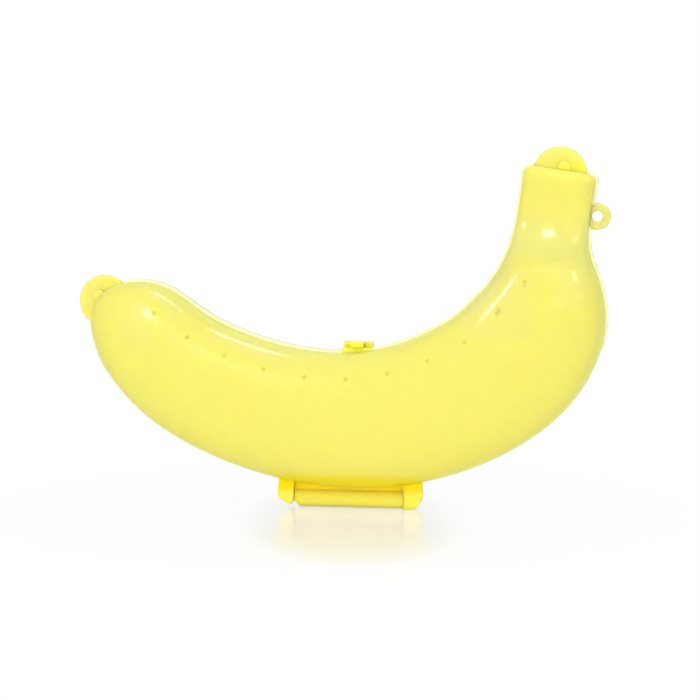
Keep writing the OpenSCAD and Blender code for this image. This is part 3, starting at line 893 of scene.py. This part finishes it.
softened("latch_catch", "front_half", LATCH_SOFT, latch_plastic, ON_SHELL)
softened("latch_lever", "latch", LATCH_SOFT, latch_plastic)
softened("latch_pin", "rear_half", PIN_SOFT, latch_plastic)

# Camera at the photograph's angle: the aim is the point in the middle of the picture.
CAMERA_AIM = (3.88, 0.0, 57.46)
CAMERA_AZIMUTH = 9.0
CAMERA_ELEVATION = 4.5
CAMERA_DISTANCE = 0.75


def put_facing(name, data, aim, azimuth, elevation, distance):
    """Puts a camera or a lamp at a distance from a point of the case, facing it; azimuth 0 is the front."""
    az, el = math.radians(azimuth), math.radians(elevation)
    way = Vector((math.sin(az) * math.cos(el), -math.cos(az) * math.cos(el), math.sin(el)))
    holder = bpy.data.objects.new(name, data)
    bpy.context.scene.collection.objects.link(holder)
    holder.location = Vector(aim) * MM + way * distance
    holder.rotation_mode = "QUATERNION"
    holder.rotation_quaternion = (-way).to_track_quat("-Z", "Y")
    return holder


def soft_lamp(name, aim, azimuth, elevation, distance, width, height, power, reflected=True, seen=True):
    """Soft rectangular lamp; the fills aren't seen in reflections, and the one at the back isn't seen at all."""
    lamp = bpy.data.lights.new(name, "AREA")
    lamp.shape = "RECTANGLE"
    lamp.size, lamp.size_y = width, height
    lamp.energy = power
    holder = put_facing(name, lamp, aim, azimuth, elevation, distance)
    holder.visible_glossy, holder.visible_camera = reflected, seen


lens = bpy.data.cameras.new("camera")
lens.sensor_width = 36.0
lens.lens = 106.32
lens.clip_end = 100.0
bpy.context.scene.camera = put_facing("camera", lens, CAMERA_AIM, CAMERA_AZIMUTH, CAMERA_ELEVATION, CAMERA_DISTANCE)

soft_lamp("key_lamp", (0, -15, 80), azimuth=4, elevation=44, distance=1.2, width=0.27, height=0.32, power=2.9)
soft_lamp("overhead_lamp", (-20, 0, 60), azimuth=165, elevation=66, distance=1.0, width=0.5, height=0.12, power=1.0)
soft_lamp("left_lamp", (58, -18, 76), azimuth=-68, elevation=26, distance=1.2, width=0.08, height=0.14, power=0.8)
soft_lamp("right_lamp", (85, -18, 86), azimuth=67, elevation=28, distance=1.2, width=0.2, height=0.3, power=0.8)
soft_lamp("low_fill", (0, 0, 20), azimuth=4, elevation=5, distance=1.5, width=1.6, height=0.25, power=10.7,
          reflected=False)
soft_lamp("back_fill", (0, 0, 60), azimuth=176, elevation=14, distance=1.5, width=1.6, height=0.5, power=12.0,
          reflected=False, seen=False)

# The floor, in metres, how white it is near the case, and the oval on it where it shows more of the hinge's shadow
# and reflection.
FLOOR_REACH = 12.0
FLOOR_GREYS = ((0.9, 0.9, 0.9, 1), (0.88, 0.88, 0.88, 1))
FLOOR_GRAIN_SCALE = 300.0
FLOOR_SHEEN = 0.75
FLOOR_NEAR, FLOOR_AWAY = 60, 160
FLOOR_NEAR_WHITE, FLOOR_AWAY_WHITE = 0.91, 0.09
PICTURE_ACROSS = (0.988, 0.156, 0)
OVAL_HALF_WIDTH = 0.042
OVAL_HALF_DEPTH = 0.1
OVAL_AHEAD = 0.03
OVAL_RIM, OVAL_FULL = 1.0, 0.25
OVAL_SHOWS = 0.36


def bright_floor():
    """Pale floor that fades to white away from the case and keeps its faint shadow and reflection."""
    material, finish = new_finish("bright_floor")
    where = finish.add("ShaderNodeTexCoord", None, None, "Object")
    grey = finish.between(finish.noise(where, FLOOR_GRAIN_SCALE), *FLOOR_GREYS)
    plain = finish.add("ShaderNodeBsdfDiffuse", None, {"Color": grey})
    sheen = finish.add("ShaderNodeBsdfGlossy", None, {"Color": WHITE, "Roughness": 0.2})
    lit = finish.add("ShaderNodeMixShader", None, {0: FLOOR_SHEEN, 1: plain, 2: sheen})
    white = finish.add("ShaderNodeEmission", None, {"Color": WHITE, "Strength": 1.0})
    across = (finish.measure("DOT_PRODUCT", where, PICTURE_ACROSS) - HINGE_MIDDLE * MM) * (1 / OVAL_HALF_WIDTH)
    ahead = (finish.part_of(where, 1) + OVAL_AHEAD) * (1 / OVAL_HALF_DEPTH)
    under_hinge = (across * across + ahead * ahead).fade(OVAL_RIM, OVAL_FULL)
    away = finish.measure("LENGTH", where).ramp(FLOOR_NEAR, FLOOR_AWAY)
    camera, glossy, through = finish.rays()
    seen = camera.most(glossy.most(through))
    whitened = seen * (FLOOR_NEAR_WHITE + FLOOR_AWAY_WHITE * away - OVAL_SHOWS * under_hinge)
    surface = finish.add("ShaderNodeMixShader", None, {0: whitened, 1: lit, 2: white})
    finish.add("ShaderNodeOutputMaterial", None, {"Surface": surface})
    return material


# Light of the surroundings from behind, and what the front and the top add to it: on surfaces and in reflections.
BACK_GLOW, FRONT_GLOW, TOP_GLOW = 0.345, 0.02, 0.41
BACK_MIRRORED, FRONT_MIRRORED, TOP_MIRRORED = 0.75, 0.1, 0.15
BACK_TO_FRONT = (0.6, -0.5)
SIDE_TO_TOP = (0.1, 0.9)


def studio_surround():
    """White surroundings; the light that they give is stronger from the front and above than from behind."""
    world = bpy.data.worlds.new("studio")
    world.use_nodes = True
    bpy.context.scene.world = world
    finish = Finish(world.node_tree)
    towards = finish.add("ShaderNodeTexCoord", None, None, "Generated")
    front = finish.part_of(towards, 1).fade(*BACK_TO_FRONT)
    above = finish.part_of(towards, 2).fade(*SIDE_TO_TOP)
    glow = BACK_GLOW + front * FRONT_GLOW + above * TOP_GLOW
    mirrored = BACK_MIRRORED + front * FRONT_MIRRORED + above * TOP_MIRRORED
    camera, glossy, through = finish.rays()
    strength = glow + glossy * (mirrored - glow)
    strength = strength + camera.most(through) * (1 - strength)
    surround = finish.add("ShaderNodeBackground", None, {"Color": WHITE, "Strength": strength})
    finish.add("ShaderNodeOutputWorld", None, {"Surface": surround})


floor_mesh = bpy.data.meshes.new("floor")
floor_corners = [(x * FLOOR_REACH, y * FLOOR_REACH, 0) for x, y in ((-1, -1), (1, -1), (1, 1), (-1, 1))]
floor_mesh.from_pydata(floor_corners, [], [(0, 1, 2, 3)])
floor_mesh.materials.append(bright_floor())
floor = bpy.data.objects.new("floor", floor_mesh)
bpy.context.scene.collection.objects.link(floor)

studio_surround()
bpy.context.scene.view_settings.view_transform = "Standard"
